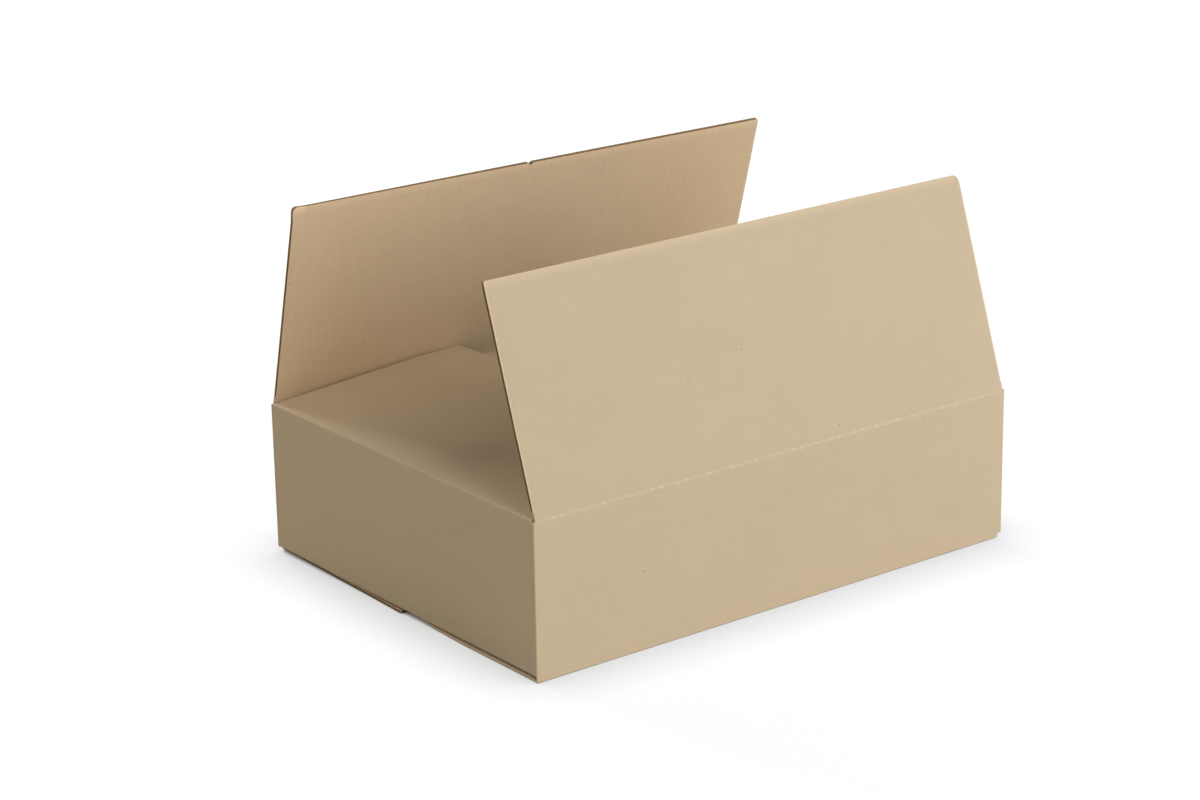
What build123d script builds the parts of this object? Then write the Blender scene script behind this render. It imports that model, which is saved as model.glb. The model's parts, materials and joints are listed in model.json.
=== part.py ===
from build123d import *
import math
import os

# Low slotted carton of single wall corrugated board, standing open on a table.
# X runs along the front, +Y to the back, +Z up; the origin is under the middle of the base.

# Board, in millimetres
board = 3.0
liner = 0.45
medium = 0.4
flute_pitch = 6.5

# Carton, outside
box_length = 400.0
box_width = 300.0
score_height = 106.5
corner_radius = 1.2

# Long flaps, top and bottom, reach the middle of the box
long_flap_depth = box_width / 2
long_flap_inset = 2.0
seam_gap = 0.6
bottom_inset_near = 0.8
bottom_inset_far = 4.0
crease_gap = 0.3
crushed_strip = 6.0
outer_bevel = 2.0
front_lean = 18.5
back_lean = 14.9

# Short flaps have the same depth, and are narrower, so that they tuck in between the long walls
short_flap_depth = long_flap_depth
short_flap_inset = 8.5
fold_radius = 2.6
flat_run = 22.0
bend_radius = 120.0
spring_angle = 6.1
ease_angle = 1.2
end_run = 34.0
mouth_depth = 10.0
edge_groove = 2.5

# Glue tab on the right wall, folded in behind the cut end of the back wall
joint_gap = 0.6
tab_width = 36.0
tab_board = 2.0
tab_slant = 12.0
tab_clearance = 1.5

# Wear on the long flaps
front_corner_wear = 6.0
back_corner_wear = 5.0
back_tear_place = -6.0
tear_width = 4.0
tear_depth = 1.6

wall_top = score_height - board / 2 - crease_gap
wall_middle_x = box_length / 2 - board / 2
wall_middle_y = box_width / 2 - board / 2
long_flap_width = box_length - 2 * long_flap_inset
short_flap_width = box_width - 2 * short_flap_inset
bottom_end = box_length / 2 - bottom_inset_near
bottom_end_far = box_length / 2 - bottom_inset_far
hollow = board - 2 * liner
folded_in = fold_radius * math.pi / 4
bent_runs = flat_run + end_run + bend_radius * math.radians(2 * spring_angle - ease_angle)
slope_run = short_flap_depth - folded_in - bent_runs


def flute_mouths(width):
    """Tunnels between the two liners; sketch X runs across the flutes and Y through the board."""
    half_pitch = flute_pitch / 2
    web = medium / math.sin(math.atan2(hollow, half_pitch))
    half_base = half_pitch - web / 2
    apex = hollow * half_base / half_pitch
    side = hollow / 2
    count = 2 * math.ceil(width / flute_pitch / 2) + 1
    with GridLocations(flute_pitch, 1, count, 1):
        Polygon((-half_base, -side), (half_base, -side), (0, apex - side), align=None)
    with GridLocations(flute_pitch, 1, count + 1, 1):
        Polygon((-half_base, side), (0, side - apex), (half_base, side), align=None)


def long_top_flap(side, lean, worn_end, wear, tears):
    """A long top flap that leans in over its score line: side -1 is the front, 1 the back."""
    tilt = math.radians(lean)
    up_flap = Vector(0, -side * math.sin(tilt), math.cos(tilt))
    score = Vector(0, side * wall_middle_y, score_height)
    crease = Plane(score, x_dir=up_flap, z_dir=(1, 0, 0))
    section = Plane(score + up_flap * crushed_strip, x_dir=(1, 0, 0), z_dir=up_flap)
    face = Plane(score, x_dir=(1, 0, 0), z_dir=Vector(1, 0, 0).cross(up_flap))
    with BuildPart() as flap:
        with BuildSketch(crease):
            Rectangle(crushed_strip, board, align=(Align.MIN, Align.CENTER))
            Circle(board / 2)
        extrude(amount=long_flap_width / 2, both=True)
        with BuildSketch(section):
            Rectangle(long_flap_width, board)
            with BuildSketch(mode=Mode.SUBTRACT):
                flute_mouths(long_flap_width)
        extrude(amount=long_flap_depth - crushed_strip)
        # The corner that is rubbed round, and small tears in the free edge
        with BuildSketch(face):
            with Locations((worn_end * (long_flap_width / 2 - wear), long_flap_depth - wear)):
                Rectangle(2 * wear, 2 * wear)
                Circle(wear, mode=Mode.SUBTRACT)
            with Locations((worn_end * long_flap_width / 2, long_flap_depth)):
                Rectangle(2 * wear, 2 * wear, mode=Mode.INTERSECT)
            for place in tears:
                with Locations((place, long_flap_depth)):
                    Polygon((-tear_width / 2, 0), (0, -tear_depth), (tear_width / 2, 0), align=None)
        extrude(amount=board, both=True, mode=Mode.SUBTRACT)
    return flap


def askew_ends(inset, mode=Mode.ADD):
    """Seen from below, where the two long bottom flaps lie; inset draws their slanting ends in."""
    near = bottom_end - inset
    far = bottom_end_far - inset
    reach = box_width / 2
    Polygon((-near, -reach), (far, -reach), (near, 0), (-far, 0), align=None, mode=mode)
    Polygon((-near, 0), (far, 0), (near, reach), (-far, reach), align=None, mode=mode)


def short_flap_end(end):
    """The plane of a short top flap's free edge, at the end of the line through its middle."""
    tip = end @ 1
    out = end % 1
    return Plane((tip.X, 0, tip.Y), x_dir=(0, 1, 0), z_dir=(out.X, 0, out.Y))


# The carton: four walls, the closed bottom and the two short top flaps, folded from one blank
with BuildPart() as carton:
    # Walls, with rounded folds at the corners and along the foot of the end walls
    with BuildSketch(Plane.XY.offset(board)):
        RectangleRounded(box_length, box_width, corner_radius)
        Rectangle(box_length - 2 * board, box_width - 2 * board, mode=Mode.SUBTRACT)
    extrude(amount=wall_top - board)
    with BuildSketch(Plane.XZ) as end_wall_outline:
        with Locations((0, board)):
            Rectangle(box_length, wall_top, align=(Align.CENTER, Align.MIN))
        fillet(end_wall_outline.vertices().group_by(Axis.Y)[0], corner_radius)
    extrude(amount=box_width, both=True, mode=Mode.INTERSECT)

    # The walls' top edges, crushed back to a bevel outside, where the long flaps fold out
    with BuildSketch(Plane.YZ):
        for side in (-1, 1):
            outer = side * box_width / 2
            inner = side * (wall_middle_y - board / 4)
            Polygon(
                (outer, wall_top - outer_bevel),
                (outer + side, wall_top - outer_bevel),
                (outer + side, wall_top + board),
                (inner, wall_top + board),
                (inner, wall_top),
                align=None,
            )
    extrude(amount=box_length, both=True, mode=Mode.SUBTRACT)

    # Long bottom flaps, outside, meeting at the middle; both lie a little askew, so their ends slant
    with BuildPart(mode=Mode.PRIVATE) as bottom_flaps:
        with BuildSketch(Plane.YZ) as bottom_outline:
            Rectangle(box_width, board, align=(Align.CENTER, Align.MIN))
            fillet(bottom_outline.vertices().group_by(Axis.Y)[0], corner_radius)
            Rectangle(seam_gap, 2 * board, mode=Mode.SUBTRACT)
        extrude(amount=box_length / 2, both=True)
        with BuildSketch():
            askew_ends(0)
        extrude(amount=board, mode=Mode.INTERSECT)
        # The flute that lies open along their cut ends
        with BuildSketch(Plane.XY.offset(liner)):
            Rectangle(box_length, 2 * (wall_middle_y - board))
            askew_ends(edge_groove, mode=Mode.SUBTRACT)
        extrude(amount=hollow, mode=Mode.SUBTRACT)
    add(bottom_flaps)

    # Short bottom flaps, inside, flat on the long ones
    with BuildSketch(Plane.XY.offset(board)):
        for side in (-1, 1):
            with Locations((side * (box_length / 2 - board), 0)):
                Rectangle(
                    short_flap_depth - board,
                    short_flap_width,
                    align=(Align.MAX if side > 0 else Align.MIN, Align.CENTER),
                )
    extrude(amount=board)

    # Left short top flap, folded in and sprung up at its free edge
    with BuildSketch(Plane.XZ):
        with BuildLine():
            rise = Line((-wall_middle_x, wall_top - board), (-wall_middle_x, score_height))
            fold = JernArc(rise @ 1, rise % 1, fold_radius, -90)
            rest = Line(fold @ 1, fold @ 1 + (flat_run, 0))
            lift = JernArc(rest @ 1, rest % 1, bend_radius, spring_angle)
            slope = PolarLine(lift @ 1, slope_run, spring_angle)
            ease = JernArc(slope @ 1, slope % 1, bend_radius, ease_angle - spring_angle)
            left_end = PolarLine(ease @ 1, end_run, ease_angle)
        trace(line_width=board)
    extrude(amount=short_flap_width / 2, both=True)

    # Right short top flap, folded in flat
    with BuildSketch(Plane.XZ):
        with BuildLine():
            rise = Line((wall_middle_x, wall_top - board), (wall_middle_x, score_height))
            fold = JernArc(rise @ 1, rise % 1, fold_radius, 90)
            right_end = PolarLine(fold @ 1, short_flap_depth - folded_in, 180)
        trace(line_width=board)
    extrude(amount=short_flap_width / 2, both=True)

    # Open flutes in the free edges of the short top flaps
    for end in (left_end, right_end):
        with BuildSketch(short_flap_end(end)):
            with BuildSketch():
                Rectangle(short_flap_width, board)
                with BuildSketch(mode=Mode.INTERSECT):
                    flute_mouths(short_flap_width)
        extrude(amount=-mouth_depth, mode=Mode.SUBTRACT)

    # Glue tab on the right wall, folded in along the back wall
    with BuildSketch(Plane.XZ.offset(board - box_width / 2)):
        Polygon(
            (box_length / 2 - board, 2 * board + tab_clearance),
            (box_length / 2 - board, wall_top - tab_clearance),
            (box_length / 2 - board - tab_width, wall_top - tab_clearance - tab_slant),
            (box_length / 2 - board - tab_width, 2 * board + tab_clearance + tab_slant),
            align=None,
        )
    extrude(amount=tab_board)

    # The joint: the right wall folds in to the tab behind the cut end of the back wall
    with BuildSketch(Plane.XY.offset(board)):
        with Locations((wall_middle_x, box_width / 2 - board)):
            Rectangle(board, joint_gap, align=(Align.CENTER, Align.MAX))
    extrude(amount=box_width, mode=Mode.SUBTRACT)


front_top_flap = long_top_flap(-1, front_lean, 1, front_corner_wear, [])
back_top_flap = long_top_flap(1, back_lean, -1, back_corner_wear, [back_tear_place])

os.makedirs("parts", exist_ok=True)
carton.part.label = "carton"
front_top_flap.part.label = "front_top_flap"
back_top_flap.part.label = "back_top_flap"
export_step(carton.part, "parts/carton.step")
export_step(front_top_flap.part, "parts/front_top_flap.step")
export_step(back_top_flap.part, "parts/back_top_flap.step")
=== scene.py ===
import json
import math
from collections import namedtuple

import bmesh
import bpy
import numpy as np
from mathutils import Matrix, Vector


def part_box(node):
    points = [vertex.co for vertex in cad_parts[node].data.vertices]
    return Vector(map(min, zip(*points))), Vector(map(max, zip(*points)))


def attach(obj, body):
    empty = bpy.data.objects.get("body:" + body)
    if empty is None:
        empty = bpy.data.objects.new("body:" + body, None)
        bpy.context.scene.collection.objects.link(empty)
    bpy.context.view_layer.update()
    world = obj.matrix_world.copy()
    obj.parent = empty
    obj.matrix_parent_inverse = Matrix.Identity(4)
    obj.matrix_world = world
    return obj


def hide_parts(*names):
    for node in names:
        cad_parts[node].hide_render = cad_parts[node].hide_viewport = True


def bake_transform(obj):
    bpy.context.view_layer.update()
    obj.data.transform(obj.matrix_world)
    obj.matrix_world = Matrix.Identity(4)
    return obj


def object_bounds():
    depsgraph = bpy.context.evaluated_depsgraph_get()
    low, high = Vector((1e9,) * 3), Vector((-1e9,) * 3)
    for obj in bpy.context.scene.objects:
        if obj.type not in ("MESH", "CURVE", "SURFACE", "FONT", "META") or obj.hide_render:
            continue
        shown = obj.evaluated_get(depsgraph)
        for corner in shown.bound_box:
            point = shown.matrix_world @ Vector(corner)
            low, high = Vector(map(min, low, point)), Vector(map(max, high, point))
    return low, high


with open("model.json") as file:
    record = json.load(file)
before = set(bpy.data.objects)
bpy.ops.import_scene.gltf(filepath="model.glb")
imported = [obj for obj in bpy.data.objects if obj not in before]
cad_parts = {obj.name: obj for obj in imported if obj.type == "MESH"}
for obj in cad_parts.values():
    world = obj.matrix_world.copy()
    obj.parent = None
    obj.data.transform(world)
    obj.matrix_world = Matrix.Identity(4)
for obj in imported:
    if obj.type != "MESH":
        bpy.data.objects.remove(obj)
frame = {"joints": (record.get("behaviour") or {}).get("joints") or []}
cad_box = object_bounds()
scene = bpy.context.scene

# The camera looks down on the front left corner of the box from about two metres away,
# with a long lens and a slight roll. Its place comes from the corners in the photograph.
azimuth = math.radians(-37.435)
elevation = math.radians(18.361)
roll = math.radians(-0.966)
aim = Vector((0.080161, 0.147493, 0.050))
distance = 2.359481
camera_data = bpy.data.cameras.new("camera")
camera_data.lens = 96.29
camera_data.sensor_width = 36
camera_data.clip_start = 0.05
camera_data.clip_end = 100
camera = bpy.data.objects.new("camera", camera_data)
scene.collection.objects.link(camera)
back = Vector(
    (
        math.sin(azimuth) * math.cos(elevation),
        -math.cos(azimuth) * math.cos(elevation),
        math.sin(elevation),
    )
)
level = (-back).cross(Vector((0, 0, 1))).normalized()
upright = level.cross(-back)
right = level * math.cos(roll) + upright * math.sin(roll)
up = upright * math.cos(roll) - level * math.sin(roll)
facing_aim = Matrix((right, up, back)).transposed().to_4x4()
camera.matrix_world = Matrix.Translation(aim + back * distance) @ facing_aim
scene.camera = camera
scene.view_settings.view_transform = "Standard"

# A white sweep under the box, as in a product studio: matt and plain, out to where it can't be seen. It
# lights the box as pale card does. To the eye it is white, with the shade of the box, and painted shade:
# a soft darkening beside it, and dark in the crack under its edge, by how open it is to the sky.
sweep_reach = 30
contact_reach = 0.05
floor_mesh = bpy.data.meshes.new("floor")
floor_corners = [(x * sweep_reach, y * sweep_reach, 0) for x, y in ((-1, -1), (1, -1), (1, 1), (-1, 1))]
floor_mesh.from_pydata(floor_corners, [], [(0, 1, 2, 3)])
floor = bpy.data.objects.new("floor", floor_mesh)
scene.collection.objects.link(floor)


def show_to_eye(tree, lighting, seen, output):
    """The eye sees one shader, straight, in a mirror or through glass; the box is lit by the other."""
    path = tree.nodes.new("ShaderNodeLightPath")
    straight = tree.nodes.new("ShaderNodeMath")
    straight.operation = "ADD"
    straight.use_clamp = True
    tree.links.new(path.outputs["Is Camera Ray"], straight.inputs[0])
    mirrored = tree.nodes.new("ShaderNodeMath")
    mirrored.operation = "ADD"
    tree.links.new(path.outputs["Is Glossy Ray"], mirrored.inputs[0])
    tree.links.new(path.outputs["Is Transmission Ray"], mirrored.inputs[1])
    tree.links.new(mirrored.outputs[0], straight.inputs[1])
    mix = tree.nodes.new("ShaderNodeMixShader")
    tree.links.new(straight.outputs[0], mix.inputs[0])
    tree.links.new(lighting.outputs[0], mix.inputs[1])
    tree.links.new(seen.outputs[0], mix.inputs[2])
    tree.links.new(mix.outputs[0], output.inputs["Surface"])


sweep_paint = bpy.data.materials.new("sweep")
sweep_paint.use_nodes = True
sweep_tree = sweep_paint.node_tree
sweep_card = sweep_tree.nodes["Principled BSDF"]
sweep_card.inputs["Base Color"].default_value = (0.92, 0.89, 0.80, 1)
sweep_card.inputs["Roughness"].default_value = 0.9
sweep_card.inputs["Specular IOR Level"].default_value = 0.1
sweep_shadow = sweep_tree.nodes.new("ShaderNodeBsdfDiffuse")
sweep_shadow.inputs["Color"].default_value = (0.235, 0.255, 0.295, 1)
contact = sweep_tree.nodes.new("ShaderNodeAmbientOcclusion")
contact.inputs["Distance"].default_value = contact_reach


def strength_by_openness(ends):
    """Turns how open the table is to the sky at a place into a strength."""
    made = sweep_tree.nodes.new("ShaderNodeMapRange")
    for socket, value in ends.items():
        made.inputs[socket].default_value = value
    sweep_tree.links.new(contact.outputs["AO"], made.inputs["Value"])
    return made.outputs[0]


# Painted shade: the white the eye sees darkens beside the box and in the crack under its edge
beside_box = strength_by_openness({"From Min": 0.5, "To Min": 0.59, "To Max": 0.84})
under_edge = strength_by_openness({"From Min": 0.1, "From Max": 0.42, "To Min": 0.06})
whiteness = sweep_tree.nodes.new("ShaderNodeMath")
whiteness.operation = "MULTIPLY"
sweep_tree.links.new(beside_box, whiteness.inputs[0])
sweep_tree.links.new(under_edge, whiteness.inputs[1])
sweep_white = sweep_tree.nodes.new("ShaderNodeEmission")
sweep_tree.links.new(whiteness.outputs[0], sweep_white.inputs["Strength"])
sweep_seen = sweep_tree.nodes.new("ShaderNodeAddShader")
sweep_tree.links.new(sweep_shadow.outputs[0], sweep_seen.inputs[0])
sweep_tree.links.new(sweep_white.outputs[0], sweep_seen.inputs[1])
show_to_eye(sweep_tree, sweep_card, sweep_seen, sweep_tree.nodes["Material Output"])
floor_mesh.materials.append(sweep_paint)

# Studio light: a pale room all round, and soft lamps. The eye sees the room as plain white.
room = bpy.data.worlds.new("room")
room.use_nodes = True
scene.world = room
room_tree = room.node_tree
room_light = room_tree.nodes["Background"]
room_light.inputs["Color"].default_value = (1.0, 0.98, 0.92, 1)
room_light.inputs["Strength"].default_value = 0.2
room_seen = room_tree.nodes.new("ShaderNodeBackground")
room_seen.inputs["Color"].default_value = (1, 1, 1, 1)
show_to_eye(room_tree, room_light, room_seen, room_tree.nodes["World Output"])
lamp_width = 1.5
lamp_aim = Vector((0, 0, 0.1))


def soft_lamp(name, place, power, colour):
    data = bpy.data.lights.new(name, "AREA")
    data.size = lamp_width
    data.energy = power
    data.color = colour
    lamp = bpy.data.objects.new(name, data)
    lamp.location = place
    lamp.rotation_euler = (lamp_aim - Vector(place)).to_track_quat("-Z", "Y").to_euler()
    scene.collection.objects.link(lamp)


soft_lamp("front_lamp", (0.0, -2.66, 0.97), 20, (0.97, 0.98, 1.0))
soft_lamp("high_front_lamp", (0.0, -1.80, 2.24), 18, (1.0, 0.88, 0.72))
soft_lamp("right_lamp", (1.88, -1.88, 0.97), 26, (0.90, 0.97, 1.0))
soft_lamp("back_lamp", (0.0, 2.66, 0.97), 75, (1.0, 0.94, 0.84))

# Unbleached paper: the outer liner is a yellower tan, the inner liner a pinker brown with more specks,
# and the fluted paper between them darker. All of it takes its place from the flat blank, in metres:
# X runs across the flutes, Y along them.
flute_pitch = 0.0065
outer_colour = (0.787, 0.719, 0.618)
inner_colour = (0.822, 0.735, 0.62)
flute_colour = (0.66, 0.56, 0.43)


def linear(colour):
    """A colour as a screen shows it, turned to the share of light that the paper gives back."""
    return tuple(((c + 0.055) / 1.055) ** 2.4 for c in colour) + (1.0,)


def shade_of(colour, share):
    """The same colour, darker or paler."""
    return tuple(min(1.0, share * c) for c in colour[:3]) + (1.0,)


class PaperNodes:
    """Builds one paper's shader, node by node."""

    def __init__(self, name):
        self.material = bpy.data.materials.new(name)
        self.material.use_nodes = True
        self.tree = self.material.node_tree
        self.surface = self.tree.nodes["Principled BSDF"]
        self.place = self.add("ShaderNodeTexCoord").outputs["UV"]

    def add(self, kind, values=(), **settings):
        made = self.tree.nodes.new(kind)
        for name, value in settings.items():
            setattr(made, name, value)
        for socket, value in dict(values).items():
            self.feed(value, made.inputs[socket])
        return made

    def feed(self, value, socket):
        if isinstance(value, bpy.types.NodeSocket):
            self.tree.links.new(value, socket)
        else:
            socket.default_value = value

    def at(self, across, along, shift=0.0):
        """The blank's place, scaled to so many features a metre."""
        scaled = {"Vector": self.place, "Scale": (across, along, 1), "Location": (shift, shift, 0)}
        return self.add("ShaderNodeMapping", scaled).outputs["Vector"]

    def noise(self, across, along, shift, detail=3.0):
        place = self.at(across, along, shift)
        settings = {"Vector": place, "Scale": 1.0, "Detail": detail, "Roughness": 0.6}
        return self.add("ShaderNodeTexNoise", settings).outputs["Fac"]

    def specks(self, per_metre, shift, radius, share):
        """Round specks: only a share of the cells hold one, and their sizes differ."""
        smallest = 0.45
        soft_rim = 0.35
        largest = radius * per_metre
        place = self.at(per_metre, per_metre, shift)
        cells = self.add("ShaderNodeTexVoronoi", {"Vector": place, "Scale": 1.0})
        tone = self.add("ShaderNodeSeparateColor", {"Color": cells.outputs["Color"]}).outputs[0]
        held = self.sum("GREATER_THAN", tone, 1.0 - share)
        grown = self.spread(tone, 1.0 - share, 1.0, smallest * largest, largest)
        size = self.sum("MULTIPLY", held, grown)
        inside = self.sum("SUBTRACT", size, cells.outputs["Distance"])
        return self.spread(inside, 0.0, soft_rim * largest)

    def spread(self, value, low, high, out_low=0.0, out_high=1.0):
        ends = {"Value": value, "From Min": low, "From Max": high, "To Min": out_low, "To Max": out_high}
        return self.add("ShaderNodeMapRange", ends).outputs["Result"]

    def sum(self, operation, first, second):
        made = self.add("ShaderNodeMath", operation=operation)
        self.feed(first, made.inputs[0])
        self.feed(second, made.inputs[1])
        return made.outputs["Value"]

    def lay(self, share, under, over):
        """One colour laid over another by a share that may be a texture."""
        made = self.add("ShaderNodeMix", data_type="RGBA")
        self.feed(share, made.inputs[0])
        self.feed(under, made.inputs[6])
        self.feed(over, made.inputs[7])
        return made.outputs[2]


def kraft_paper(name, colour, cloud, specks, rib):
    """One paper: cloud says how strongly it clouds, specks what share of its cells hold a speck, and rib
    how dark the painted shade is in stripes along the flutes."""
    paper = PaperNodes(name)
    base = linear(colour)
    darker = shade_of(base, 0.72)
    lighter = shade_of(base, 1.25)
    # Clouds and fibres: features a metre across and along, shift, where the noise sets in and is
    # full, the largest share, and what is laid on
    fibre = 0.22
    shade = base
    for across, along, shift, low, high, share, over in (
        (14, 18, 0.0, 0.35, 0.7, cloud, darker),
        (60, 85, 2.0, 0.4, 0.7, 0.7 * cloud, lighter),
        (260, 900, 3.1, 0.45, 0.8, fibre, lighter),
        (700, 800, 7.7, 0.45, 0.8, fibre, darker),
    ):
        layer = paper.spread(paper.noise(across, along, shift), low, high, 0.0, share)
        shade = paper.lay(layer, shade, over)
    # Bark specks, and fewer pale ones
    shade = paper.lay(paper.specks(150, 1.3, 0.0006, specks), shade, shade_of(base, 0.38))
    shade = paper.lay(paper.specks(110, 5.9, 0.0005, 0.5 * specks), shade, shade_of(base, 1.45))
    # Painted shade in stripes along the flutes, and the paleness that the mesh carries: wear and painted
    # light
    across = paper.add("ShaderNodeSeparateXYZ", {"Vector": paper.place}).outputs["X"]
    wave = paper.sum("COSINE", paper.sum("MULTIPLY", across, 2 * math.pi / flute_pitch), 0.0)
    shade = paper.lay(paper.spread(wave, -1.0, 1.0, 0.0, rib), shade, darker)
    # Paler where the mesh says: worn paper, and painted light on the top flaps' folds, beside them and on
    # the bent corner
    rub = paper.add("ShaderNodeAttribute", attribute_name="rub").outputs["Fac"]
    shade = paper.lay(rub, shade, shade_of(base, 1.55))
    paper.feed(shade, paper.surface.inputs["Base Color"])
    # A matt, slightly uneven surface with a fine nap
    roughness = paper.spread(paper.noise(500, 900, 4.4), 0.3, 0.7, 0.82, 0.94)
    paper.feed(roughness, paper.surface.inputs["Roughness"])
    paper.surface.inputs["Specular IOR Level"].default_value = 0.25
    nap = paper.sum("ADD", paper.noise(1500, 1800, 5.3), paper.noise(170, 260, 1.7, 2.0))
    bump = paper.add("ShaderNodeBump", {"Height": nap, "Strength": 0.3, "Distance": 0.00006})
    paper.feed(bump.outputs["Normal"], paper.surface.inputs["Normal"])
    return paper.material


PAPERS = (
    kraft_paper("outer_liner", outer_colour, cloud=0.10, specks=0.13, rib=0.02),
    kraft_paper("inner_liner", inner_colour, cloud=0.14, specks=0.42, rib=0.06),
    kraft_paper("flute_paper", flute_colour, cloud=0.30, specks=0.30, rib=0.0),
)
OUTER, INNER, FLUTE = range(3)

# The four walls, folded round from one blank of single wall corrugated board. The blank starts at the cut
# end of the back wall and ends in the glue tab, which folds in behind it at the far right corner.
half_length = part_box("carton")[1].x
half_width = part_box("carton")[1].y
score_height = frame["joints"][0]["pos_m"][2]
board = 0.003
corner_radius = 0.0012
inner_corner_radius = 0.0004
# How far the slots set the flaps in from the corners: the long ones, the front ones at their left end,
# the left short ones and the right short ones
long_inset = 0.0021
near_inset = 0.0013
short_inset = 0.0032
flat_inset = 0.0045
# The crushed strip beside a score line, half a slot's cut, and how near to the score it leaves a corner
crush_reach = 0.005
slot_cut = 0.0001
corner_root = 0.0002
# The flutes show as faint ribs. Beside the corners, the score tool leaves a mark on the end walls, which
# sink a little past it.
rib_height = 0.00002
mark_place = 0.0028
mark_depth = 0.00018
mark_width = 0.00045
wall_sink = 0.00025
sink_start = 0.0006
sink_reach = 0.0024
# The glue tab, and the joint where it goes in behind the cut end of the back wall
tab_board = 0.002
tab_width = 0.036
tab_fold = 0.0018
tab_inner_radius = 0.0003
tab_gap = 0.00015
tab_clearance = 0.0015
tab_top_clearance = 0.0035
tab_slant = 0.012
joint_gap = 0.0007
joint_slack = 0.0006
# The end walls end above the long bottom flaps
under_gap = 0.0009
end_foot = board + under_gap
bottom_start = end_foot + crush_reach
wall_rows = 12
wall_step = flute_pitch / 6
fine_strip = 0.0048
fine_columns = 25
fold_steps = 7
tab_columns = 34


def smooth_step(t):
    """From 0 to 1, with soft ends."""
    t = np.clip(t, 0, 1)
    return t * t * (3 - 2 * t)


def bump_at(distance, width):
    """1 at no distance, and falling off over a width."""
    return np.exp(-((distance / width) ** 2))


def rib_at(place_on_blank):
    """How far the outer face lies in between two flutes."""
    return rib_height * (1 - np.cos(2 * math.pi * place_on_blank / flute_pitch)) / 2


def slab(outer, inner, blank, papers, rub):
    """A closed layer of paper or board between two grids of points. blank is each point's place on the
    flat sheet; papers are those of its outer face, its inner face and its rim."""
    rows, columns = outer.shape[:2]
    size = rows * columns
    number = np.arange(size).reshape(rows, columns)
    face = np.stack([number[:-1, :-1], number[:-1, 1:], number[1:, 1:], number[1:, :-1]], -1).reshape(-1, 4)
    edges = [
        (number[0, :-1], number[0, 1:]),
        (number[-1, 1:], number[-1, :-1]),
        (number[1:, 0], number[:-1, 0]),
        (number[:-1, -1], number[1:, -1]),
    ]
    rim = np.concatenate([np.stack([a, a + size, b + size, b], -1) for a, b in edges])
    faces = np.concatenate([face, face[:, ::-1] + size, rim])
    kinds = np.repeat(papers, (len(face), len(face), len(rim)))
    points = np.concatenate([outer.reshape(-1, 3), inner.reshape(-1, 3)])
    places = np.tile(blank.reshape(-1, 2), (2, 1))
    return points, faces, kinds, places, np.tile(np.broadcast_to(rub, (rows, columns)).reshape(-1), 2)


def board_piece(name, layers):
    """One piece of folded board, made of its closed layers."""
    points, faces, kinds, places, wear_and_painted_light_layers = zip(*layers)
    starts = np.cumsum([0] + [len(part) for part in points[:-1]])
    faces = np.concatenate([part + start for part, start in zip(faces, starts)])
    kinds = np.concatenate(kinds).astype(np.int32)
    places = np.concatenate(places)[faces.reshape(-1)].astype(np.float32)
    mesh = bpy.data.meshes.new(name)
    mesh.from_pydata(np.concatenate(points).tolist(), [], faces.tolist())
    for paper in PAPERS:
        mesh.materials.append(paper)
    mesh.polygons.foreach_set("material_index", kinds)
    mesh.uv_layers.new(name="blank").data.foreach_set("uv", places.reshape(-1))
    # Paleness at each point, from wear and painted light
    worn = mesh.attributes.new("rub", "FLOAT", "POINT")
    worn.data.foreach_set("value", np.concatenate(wear_and_painted_light_layers).astype(np.float32))
    mesh.polygons.foreach_set("use_smooth", np.ones(len(faces), bool))
    turned = bmesh.new()
    turned.from_mesh(mesh)
    bmesh.ops.recalc_face_normals(turned, faces=turned.faces)
    turned.to_mesh(mesh)
    turned.free()
    mesh.set_sharp_from_angle(angle=math.radians(38))
    piece = bpy.data.objects.new(name, mesh)
    scene.collection.objects.link(piece)
    return piece


def along_wall(first, last, slots):
    """Places along a wall, close together near its folds and slots."""
    middle = np.arange(first + fine_strip, last - fine_strip, wall_step)[1:]
    first_end = np.linspace(first, first + fine_strip, fine_columns)
    last_end = np.linspace(last - fine_strip, last, fine_columns)
    spots = np.concatenate([middle, first_end, last_end])
    cuts = [slot + gap for slot in slots for gap in (-slot_cut, slot_cut)]
    far_from_cut = [all(abs(spot - cut) > slot_cut for cut in cuts) for spot in spots]
    return np.sort(np.concatenate([spots[far_from_cut], cuts]))


POST, LONG_WALL, END_WALL, FOLD, TAB = range(5)
columns = []


def add_wall(turn, outer_ends, inner_ends, start, insets):
    """Adds a wall's columns: outer and inner point, the way out, the place on the blank, the distance
    to the fold, and what the column is part of. A post is what the slots leave beside the folds."""
    angle = turn * math.pi / 2
    facing = np.array([math.sin(angle), -math.cos(angle)])
    going = np.array([math.cos(angle), math.sin(angle)])
    far, reach = (half_length, half_width) if turn % 2 else (half_width, half_length)
    slots = (insets[0] - reach, reach - insets[1])
    for spot in along_wall(*outer_ends, slots):
        share = (spot - outer_ends[0]) / (outer_ends[1] - outer_ends[0])
        inner_spot = inner_ends[0] + share * (inner_ends[1] - inner_ends[0])
        outer_point = facing * far + going * spot
        inner_point = facing * (far - board) + going * inner_spot
        wall_kind = END_WALL if turn % 2 else LONG_WALL
        kind = wall_kind if slots[0] < spot < slots[1] else POST
        place_on_blank = start + reach + spot
        from_fold = reach - abs(spot)
        columns.append([*outer_point, *inner_point, *facing, place_on_blank, from_fold, kind, turn % 2])
    return start + 2 * reach


def add_fold(turn, centre, inner_centre, start, radius, inner_radius, kind=FOLD):
    """Adds the columns of the quarter turn that ends a wall."""
    for step in range(1, fold_steps):
        share = step / fold_steps
        bend = turn * math.pi / 2 + share * math.pi / 2
        facing = np.array([math.sin(bend), -math.cos(bend)])
        outer_point = centre + facing * radius
        inner_point = inner_centre + facing * inner_radius
        place_on_blank = start + (2 * share - 1) * radius
        columns.append([*outer_point, *inner_point, *facing, place_on_blank, 0, kind, 0])


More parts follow.
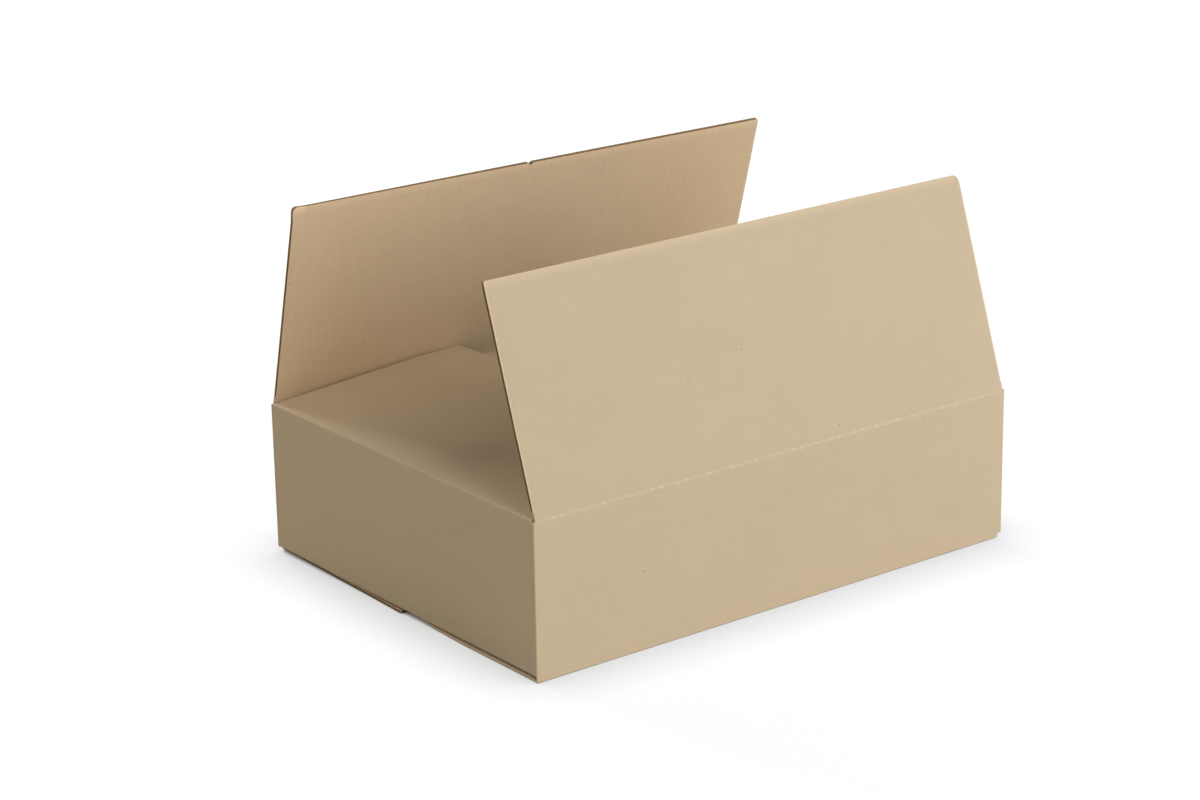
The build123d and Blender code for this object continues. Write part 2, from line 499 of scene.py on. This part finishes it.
run_x = half_length - corner_radius
run_y = half_width - corner_radius
inner_x = half_length - board - inner_corner_radius
inner_y = half_width - board - inner_corner_radius
joint_end = half_length - joint_gap
tab_face = half_width - board - tab_gap
tab_start_y = tab_face - tab_fold
tab_inner_x = half_length - board - tab_inner_radius
inner_joint_end = tab_start_y - joint_slack
both_long = (long_inset, long_inset)
both_short = (short_inset, short_inset)
both_flat = (flat_inset, flat_inset)
radii = (corner_radius, inner_corner_radius)
outer_corner = np.array([run_x, run_y])
inner_corner = np.array([inner_x, inner_y])
back_end = add_wall(2, (-joint_end, run_x), (-joint_end, inner_x), 0.0, both_long)
add_fold(2, outer_corner * (-1, 1), inner_corner * (-1, 1), back_end, *radii)
left_end = add_wall(3, (-run_y, run_y), (-inner_y, inner_y), back_end, both_short)
add_fold(3, outer_corner * (-1, -1), inner_corner * (-1, -1), left_end, *radii)
front_end = add_wall(0, (-run_x, run_x), (-inner_x, inner_x), left_end, (near_inset, long_inset))
add_fold(0, outer_corner * (1, -1), inner_corner * (1, -1), front_end, *radii)
right_end = add_wall(1, (-run_y, tab_start_y), (-inner_y, inner_joint_end), front_end, both_flat)
tab_centre = np.array([half_length - tab_fold, tab_start_y])
tab_inner_centre = np.array([tab_inner_x, tab_face - tab_board - tab_inner_radius])
add_fold(1, tab_centre, tab_inner_centre, right_end, tab_fold, tab_inner_radius, TAB)
tab_reach = tab_width - tab_fold
tab_inner_reach = tab_width - half_length + tab_inner_x
for step in np.linspace(0, 1, tab_columns):
    outer_point = (half_length - tab_fold - step * tab_reach, tab_face)
    inner_point = (tab_inner_x - step * tab_inner_reach, tab_face - tab_board)
    columns.append([*outer_point, *inner_point, 0, 1, right_end + step * tab_width, 1, TAB, 0])
columns = np.array(columns)
outside, inside, way_out = columns[:, 0:2], columns[:, 2:4], columns[:, 4:6]
along, from_fold, kind, on_end_wall = columns[:, 6], columns[:, 7], columns[:, 8], columns[:, 9] > 0.5

# Where each column starts and ends. At the near left corner the front wall reaches the table.
to_table = (outside[:, 0] < 0) & (outside[:, 1] < 0) & ~on_end_wall
feet = ((kind == LONG_WALL, crush_reach), (kind == END_WALL, bottom_start), (to_table, corner_root))
foot = np.select([where for where, height in feet], [height for where, height in feet], end_foot)
rooted = (kind == POST) | (kind == FOLD)
head = np.where(rooted, score_height + corner_root, score_height - crush_reach)
tab_slope = tab_slant * np.clip((half_length - outside[:, 0]) / tab_width, 0, 1)
foot = np.where(kind == TAB, 2 * board + tab_clearance + tab_slope, foot)
head = np.where(kind == TAB, score_height - tab_top_clearance - tab_slope, head)
score_mark = mark_depth * bump_at(from_fold - mark_place, mark_width)
score_mark += wall_sink * smooth_step((from_fold - sink_start) / sink_reach)
dip = rib_at(along) + np.where(on_end_wall, score_mark, 0)
skin = outside - way_out * dip[:, None]
corner_rub = np.where(kind == TAB, 0, 0.3 * bump_at(from_fold, 0.0005))
share = np.linspace(0, 1, wall_rows)[:, None]
heights = foot * (1 - share) + head * share


def upright_grid(line):
    x, y = (np.broadcast_to(line[:, axis], heights.shape) for axis in (0, 1))
    return np.dstack([x, y, heights])


blank = np.dstack([np.broadcast_to(along, heights.shape), heights])
wall_layer = slab(upright_grid(skin), upright_grid(inside), blank, (OUTER, INNER, FLUTE), corner_rub)
walls = board_piece("walls", [wall_layer])
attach(walls, "carton")
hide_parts("carton")

# The two long top flaps stand up, leaning in, with their score lines along the tops of the long walls.
# Each is two liners with the waved medium between them, cut to size by a knife that nips the ends, so
# that the flutes show at every cut edge.
liner = 0.00042
medium = 0.00032
columns_per_flute = 6
medium_columns_per_flute = 10
flap_depth = half_width
flap_rows = 24
crease_reach = 0.006
# The board is pressed to a share of its thickness at a score line
pinch = 0.72
pinch_start = 0.003
pinch_reach = 0.009
nip_reach = 0.0012
end_wear = 0.5
end_wear_reach = 0.0007
medium_wear = 0.4
medium_wear_reach = 0.0004
edge_column = 0.0004
flap_top = cad_box[1].z
# Each flap's lean from upright, in degrees, at its left and right ends
front_lean = (18.55, 18.55)
back_lean = (13.9, 15.9)
front_insets = (near_inset, long_inset)
back_insets = both_long
CutEnd = namedtuple("CutEnd", "recess nip paper")
knife_cut = CutEnd(recess=0.0014, nip=0.0002, paper=FLUTE)


def flap_columns(left, right):
    """Places across a flap, with one more close to each cut end."""
    even = np.linspace(left, right, round((right - left) / flute_pitch * columns_per_flute) + 1)
    return np.sort(np.append(even, (left + edge_column, right - edge_column)))


def fluted_board(place, across, reach, thickness, rub, relief, shift, cut):
    """The three layers. place turns grids of across, along and depth into points; reach is each row's
    distance along the flutes; thickness and relief give the board's height and bulge at a point, and the
    function between them its paleness from wear and painted light. The knife nips the cut ends, where the
    medium lies a recess deep between the liners."""

    def cut_board(across_grid, reach):
        from_end = np.minimum(across_grid - across[0], across[-1] - across_grid)
        nipped = cut.nip * bump_at(from_end, nip_reach)
        return from_end, nipped, thickness(across_grid, reach) - nipped

    across_grid = np.broadcast_to(across, reach.shape)
    from_end, nipped, thick = cut_board(across_grid, reach)
    # Paleness from wear and painted light, with the cut ends worn paler
    wear_and_painted_light_grid = rub(across_grid, reach)
    worn = np.clip(wear_and_painted_light_grid + end_wear * bump_at(from_end, end_wear_reach), 0, 1)
    inner_wear_and_painted_light = worn if cut.paper == OUTER else wear_and_painted_light_grid
    rib = rib_at(across_grid + shift)
    face = rib + nipped - relief(across_grid, reach)
    blank = np.dstack([across_grid + shift, score_height + reach])
    outer_faces = (place(across_grid, reach, face), place(across_grid, reach, face + liner))
    inner_faces = (place(across_grid, reach, thick - liner), place(across_grid, reach, thick - rib))
    outer = slab(*outer_faces, blank, (OUTER, FLUTE, OUTER), worn)
    inner = slab(*inner_faces, blank, (FLUTE, INNER, cut.paper), inner_wear_and_painted_light)

    # The medium swings between the liners. It needs fewer rows, but all of the last ones.
    medium_columns = round((across[-1] - across[0]) / flute_pitch * medium_columns_per_flute) + 1
    fine = np.linspace(across[0] + cut.recess, across[-1] - cut.recess, medium_columns)
    few = np.unique([*range(0, len(reach) - 4, 3), *range(len(reach) - 4, len(reach))])
    fine_reach = np.array([np.interp(fine, across, reach[row]) for row in few])
    fine_across = np.broadcast_to(fine, fine_reach.shape)
    from_end, nipped, thick = cut_board(fine_across, fine_reach)
    room = thick - nipped - 2 * liner
    closed = bump_at(from_end - cut.recess, medium_wear_reach)
    web = medium + (room - medium) * closed
    swing = (room - web) / 2 * np.cos(2 * math.pi * (fine_across + shift) / flute_pitch)
    wave = nipped + liner + room / 2 + swing
    wave_blank = np.dstack([fine_across + shift, score_height + fine_reach])
    wave_faces = [place(fine_across, fine_reach, wave + half) for half in (-web / 2, web / 2)]
    papers = (FLUTE, FLUTE, cut.paper)
    return [outer, inner, slab(*wave_faces, wave_blank, papers, medium_wear * closed)]


def dog_ear_depth(across, along, dog_ear):
    """How far a point lies past the line across which the left top corner is bent."""
    return (dog_ear - (across + half_length - long_inset) - (flap_depth - along)) / math.sqrt(2)


def long_place(side, lean_ends, dog_ear):
    """Where a point of a long flap is: side -1 is the front, 1 the back. The lean sets in over the score
    line and differs a little from end to end."""
    width = half_length - long_inset
    bend_half = 0.0012
    dog_ear_rise = 0.35

    def place(across, along, depth):
        share = (across / width + 1) / 2
        bent = smooth_step((along + bend_half) / (2 * bend_half))
        lean = np.radians(lean_ends[0] * (1 - share) + lean_ends[1] * share) * bent
        past = np.maximum(0, dog_ear_depth(across, along, dog_ear))
        from_middle = board / 2 - depth + dog_ear_rise * past
        y = half_width - board / 2 - along * np.sin(lean) + from_middle * np.cos(lean)
        z = score_height + along * np.cos(lean) + from_middle * np.sin(lean)
        return np.dstack([across, side * np.minimum(y, half_width), np.minimum(z, flap_top)])

    return place


def long_flap(name, body, side, lean_ends, insets, worn_ends, dog_ear, tears, shift):
    """One long flap. worn_ends are the radii of its rubbed top corners, and each tear has a place across,
    half a width and a depth. A dog_ear below 0 is none."""
    left, right = insets[0] - half_length, half_length - insets[1]
    across = flap_columns(left, right)
    limit = np.full(len(across), flap_depth)
    for from_end, worn in zip((across - left, right - across), worn_ends):
        near = np.clip(worn - from_end, 0, worn)
        limit -= worn - np.sqrt(worn**2 - near**2)
    for tear_place, tear_width, tear_depth in tears:
        limit -= tear_depth * np.clip(1 - np.abs(across - tear_place) / tear_width, 0, 1)
    reach = crease_reach + np.linspace(0, 1, flap_rows)[:, None] * (limit - crease_reach)

    def thickness(across, along):
        return board * (1 - (1 - pinch) * (1 - smooth_step((along - pinch_start) / pinch_reach)))

    def rub(across, along):
        # Worn paler along the top edge, and painted light over the bent-over corner
        bent = smooth_step(dog_ear_depth(across, along, dog_ear) / 0.0008)
        return 0.25 * bump_at(flap_depth - along, 0.0008) + 0.45 * bent

    def relief(across, along):
        return 0 * along

    place = long_place(side, lean_ends, dog_ear)
    layers = fluted_board(place, across, reach, thickness, rub, relief, shift, knife_cut)
    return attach(board_piece(name, layers), body)


front_shift = left_end + half_length
front_flap = long_flap(
    "front_flap",
    "front_top_flap",
    side=-1,
    lean_ends=front_lean,
    insets=front_insets,
    worn_ends=(0.001, 0.006),
    dog_ear=-1,
    tears=[],
    shift=front_shift,
)
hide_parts("front_top_flap")
back_flap = long_flap(
    "back_flap",
    "back_top_flap",
    side=1,
    lean_ends=back_lean,
    insets=back_insets,
    worn_ends=(0.005, 0.0015),
    dog_ear=0.009,
    tears=[(-0.006, 0.002, 0.0016)],
    shift=0.0,
)
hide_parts("back_top_flap")


# The score lines of the long flaps: strips of crushed board. The tool pressed a groove along them, and
# the paper is rubbed pale on some of the crests of the flutes.
crease_half = 0.0016
crease_rows = 17
groove = 0.00012
crest_height = 0.0001
bead_reach = 0.0007
shine_reach = 0.0005


def crease(name, side, lean_ends, insets, shift, seed):
    left, right = insets[0] - half_length, half_length - insets[1]
    across = flap_columns(left, right)
    bend = np.linspace(-crease_half, crease_half, crease_rows)
    below, above = np.linspace(-crush_reach, -0.002, 4), np.linspace(0.002, crease_reach, 5)
    across_grid, along_grid = np.meshgrid(across, np.concatenate([below, bend, above]))
    easing = np.where(along_grid > 0, pinch_reach, 0.002)
    crushed = (1 - pinch) * (1 - smooth_step((np.abs(along_grid) - pinch_start) / easing))
    draw = np.random.default_rng(seed)
    flutes = int((right - left) / flute_pitch) + 2
    chance = smooth_step(draw.uniform(-0.4, 1.3, flutes))
    drift = draw.normal(0, 0.0002, flutes)
    at_flute = np.clip(((across_grid - left) / flute_pitch).astype(int), 0, flutes - 1)
    wave = np.cos(2 * math.pi * (across_grid + shift) / flute_pitch)
    crest = smooth_step((wave + 0.5) / 1.2) * chance[at_flute]
    bead = bump_at(along_grid, bead_reach)
    dent = groove * bead - crest_height * crest * bead
    shine = bump_at(along_grid - drift[at_flute], shine_reach)
    place = long_place(side, lean_ends, -1)
    layer = slab(
        place(across_grid, along_grid, dent),
        place(across_grid, along_grid, board * (1 - crushed)),
        np.dstack([across_grid + shift, score_height + along_grid]),
        (OUTER, INNER, OUTER),
        0.12 * bead + 0.30 * shine * crest,
    )
    piece = board_piece(name, [layer])
    y = side * (half_width - board / 2)
    start, end = (0, y, score_height - crush_reach), (0, y, score_height + crease_reach)
    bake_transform(piece)
    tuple(start)
    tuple(end)


crease("front_crease", -1, front_lean, front_insets, front_shift, seed=3)
crease("back_crease", 1, back_lean, back_insets, 0.0, seed=4)

# The folded in flaps: the short top flaps, the left one sprung up at its free edge, and the four bottom
# flaps, the short ones lying on the long ones, which meet at the middle and lie a little askew. A fold of
# this board is crisp. On the top flaps a painted highlight runs along it, in teeth on the crests of the
# flutes, and painted light beside it fades away from the fold.
fold_radius = 0.0011
fine_step = 0.0001
fold_rows = 15
beside_fold = 0.02
most_flutes = 200
# How far from the fold the painted light beside it fades out
painted_light_reach = 0.07


def folded_flap(name, end_wall, side, upwards, start_height, runs, edges, shift, cut, scallop=0.0, seed=0):
    """A flap folded in from a wall. runs lists lengths of its outer face and the inward turn over each, in
    degrees; edges lists places along it, and there the insets of its two sides; scallop is the height of
    the flutes' crests on the fold."""
    reach_out, half_side = (half_length, half_width) if end_wall else (half_width, half_length)
    way_up = 1 if upwards else -1

    # The path of the outer face, in fine steps: how far in and how high it lies, and where it heads
    counts = [round(length / fine_step) for length, turn in runs]
    bent = [np.full(count, math.radians(turn) / count) for count, (length, turn) in zip(counts, runs)]
    heading = math.pi / 2 - np.concatenate([[0], np.cumsum(np.concatenate(bent))])
    middle = (heading[1:] + heading[:-1]) / 2
    inward = np.concatenate([[0], np.cumsum(np.cos(middle) * fine_step)])
    height = np.concatenate([[0], np.cumsum(np.sin(middle) * fine_step)])
    path = np.arange(len(inward)) * fine_step
    fold_start = counts[0] * fine_step
    fold_end = fold_start + counts[1] * fine_step
    fold_middle = (fold_start + fold_end) / 2
    lift = math.radians(90 - runs[1][1])
    corner_height = np.interp(fold_end, path, height) - np.interp(fold_end, path, inward) * math.tan(lift)

    # Rows across it, close together at the fold and wherever it bends
    along_edges, left_insets, right_insets = edges
    at_fold = np.linspace(fold_start - 0.001, fold_end + 0.001, fold_rows)
    straight = fold_end + beside_fold
    rows = [np.linspace(0, at_fold[0], 3), at_fold, np.linspace(at_fold[-1], straight, 7)]
    ends = np.cumsum(counts) * fine_step
    bends = [np.linspace(end - length, end, 9) for end, (length, turn) in zip(ends[2:], runs[2:]) if turn]
    within = [place for place in along_edges if straight < place < path[-1]]
    reach = np.unique(np.concatenate([*rows, *bends, within, ends[2:]]).round(6))[:, None]
    across = flap_columns(left_insets[0] - half_side, half_side - right_insets[0])
    reach = reach + 0 * across

    def place(across_grid, along, depth):
        """The inner faces of the wall and the flap stop where they meet."""
        turn = np.interp(along, path, heading)
        deep_in = np.maximum(np.interp(along, path, inward) + np.sin(turn) * depth, depth)
        rise = np.interp(along, path, height) - np.cos(turn) * depth
        ceiling = corner_height + deep_in * math.tan(lift) - np.maximum(depth, 0) / math.cos(lift)
        no_ceiling = np.where(depth > 0.0005, 0, 1)
        rise = np.where(along < fold_end, np.minimum(rise, ceiling + no_ceiling), rise)
        out = side * np.minimum(reach_out - deep_in, reach_out)
        left = np.interp(along, along_edges, left_insets) - half_side
        right = half_side - np.interp(along, along_edges, right_insets)
        wide = left + (across_grid - across[0]) / (across[-1] - across[0]) * (right - left)
        z = np.maximum(start_height + way_up * rise, 0)
        return np.dstack([out, wide, z]) if end_wall else np.dstack([wide, out, z])

    def thickness(across_grid, along):
        from_fold = np.abs(along - fold_middle)
        return board * (1 - (1 - pinch) * (1 - smooth_step((from_fold - 0.002) / 0.006)))

    chance = np.random.default_rng(seed).uniform(0.3, 1.0, most_flutes)

    def crest(across_grid, along):
        at_flute = ((across_grid + half_side) / flute_pitch).astype(int)
        strength = chance[np.clip(at_flute, 0, most_flutes - 1)]
        wave = np.cos(2 * math.pi * (across_grid + shift) / flute_pitch)
        height_at = 0.55 + 0.45 * smooth_step((wave + 0.6) / 1.3) * strength
        return bump_at(along - fold_middle, 0.0009) * height_at

    def rub(across_grid, along):
        """A painted highlight on the fold, and painted light beside it that fades away from the fold; only
        where the fold has a scallop.
        """
        painted_light_beside_fold = 0.27 * (1 - smooth_step((along - fold_end) / painted_light_reach))
        painted_light_beside_fold = painted_light_beside_fold * smooth_step((along - fold_start) / 0.001)
        return np.maximum(0.55 * crest(across_grid, along), painted_light_beside_fold) * (scallop > 0)

    def relief(across_grid, along):
        sunk = wall_sink * (1 - smooth_step(along / fold_start)) if end_wall else 0
        return scallop * crest(across_grid, along) - sunk

    layers = fluted_board(place, across, reach, thickness, rub, relief, shift, cut)
    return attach(board_piece(name, layers), "carton")


# The short top flaps leave the end walls at the crushed strip. The left one springs up in one slope, and
# eases off near its free edge; the right one lies level.
spring_angle = 5.65
ease_angle = 1.2
bend_radius = 0.12
slope_run = 0.1087
end_run = 0.034
flap_head = score_height - crush_reach
sprung_top = score_height + 0.0014
flat_top = score_height + 0.0041
sprung = [
    (sprung_top - flap_head - fold_radius, 0),
    (fold_radius * math.radians(90 - spring_angle), 90 - spring_angle),
    (slope_run, 0),
    (bend_radius * math.radians(spring_angle - ease_angle), spring_angle - ease_angle),
    (end_run, 0),
]
flat = [
    (flat_top - flap_head - fold_radius, 0),
    (fold_radius * math.pi / 2, 90),
    (half_width - fold_radius, 0),
]
# Both are cut narrower towards the free edge
taper = (0.004, 0.11)
free_inset = 0.0085
sprung_edges = (taper, (short_inset, free_inset), (short_inset, free_inset))
flat_edges = (taper, (flat_inset, free_inset), (flat_inset, free_inset))
left_shift = back_end + half_width
right_shift = front_end + half_width
pressed_cut = CutEnd(recess=0.0003, nip=0.0002, paper=OUTER)
fold_scallop = 0.00012
for name, side, runs, edges, shift, seed in (
    ("left_top_flap", -1, sprung, sprung_edges, left_shift, 5),
    ("right_top_flap", 1, flat, flat_edges, right_shift, 6),
):
    folded_flap(name, True, side, True, flap_head, runs, edges, shift, pressed_cut, fold_scallop, seed)

# The long bottom flaps lie askew, so the left end of the front one shows at the foot of the left wall near
# the front, and that of the back one near the middle. The short ones lie on them.
foot_arc = corner_radius * math.pi / 2
foot_run = crush_reach - corner_radius
seam_half = 0.0003
under_long = [(foot_run, 0), (foot_arc, 90), (half_width - corner_radius - seam_half, 0)]
under_short = [(foot_run, 0), (foot_arc, 90), (half_width - corner_radius, 0)]
bottom_places = (0.001, 0.0055, 0.085, 0.12, half_width)
straying = (long_inset, 0.0046, 0.0022, 0.0012, 0.0)
front_steady = (0.0004, 0.0004, 0.0002, 0.0016, 0.0056)
back_steady = (long_inset, long_inset, 0.0030, 0.0036, 0.0040)
front_edges = (bottom_places, front_steady, straying)
back_edges = (bottom_places, straying, back_steady)
closed_cut = CutEnd(recess=0.0, nip=0.0006, paper=OUTER)
open_cut = CutEnd(recess=0.0014, nip=0.0003, paper=OUTER)
for name, side, edges, shift, cut in (
    ("front_bottom_flap", -1, front_edges, front_shift, closed_cut),
    ("back_bottom_flap", 1, back_edges, 0.0, open_cut),
):
    folded_flap(name, False, side, False, crush_reach, under_long, edges, shift, cut)
for name, side, edges, shift in (
    ("left_bottom_flap", -1, sprung_edges, left_shift),
    ("right_bottom_flap", 1, flat_edges, right_shift),
):
    folded_flap(name, True, side, False, bottom_start, under_short, edges, shift, pressed_cut)
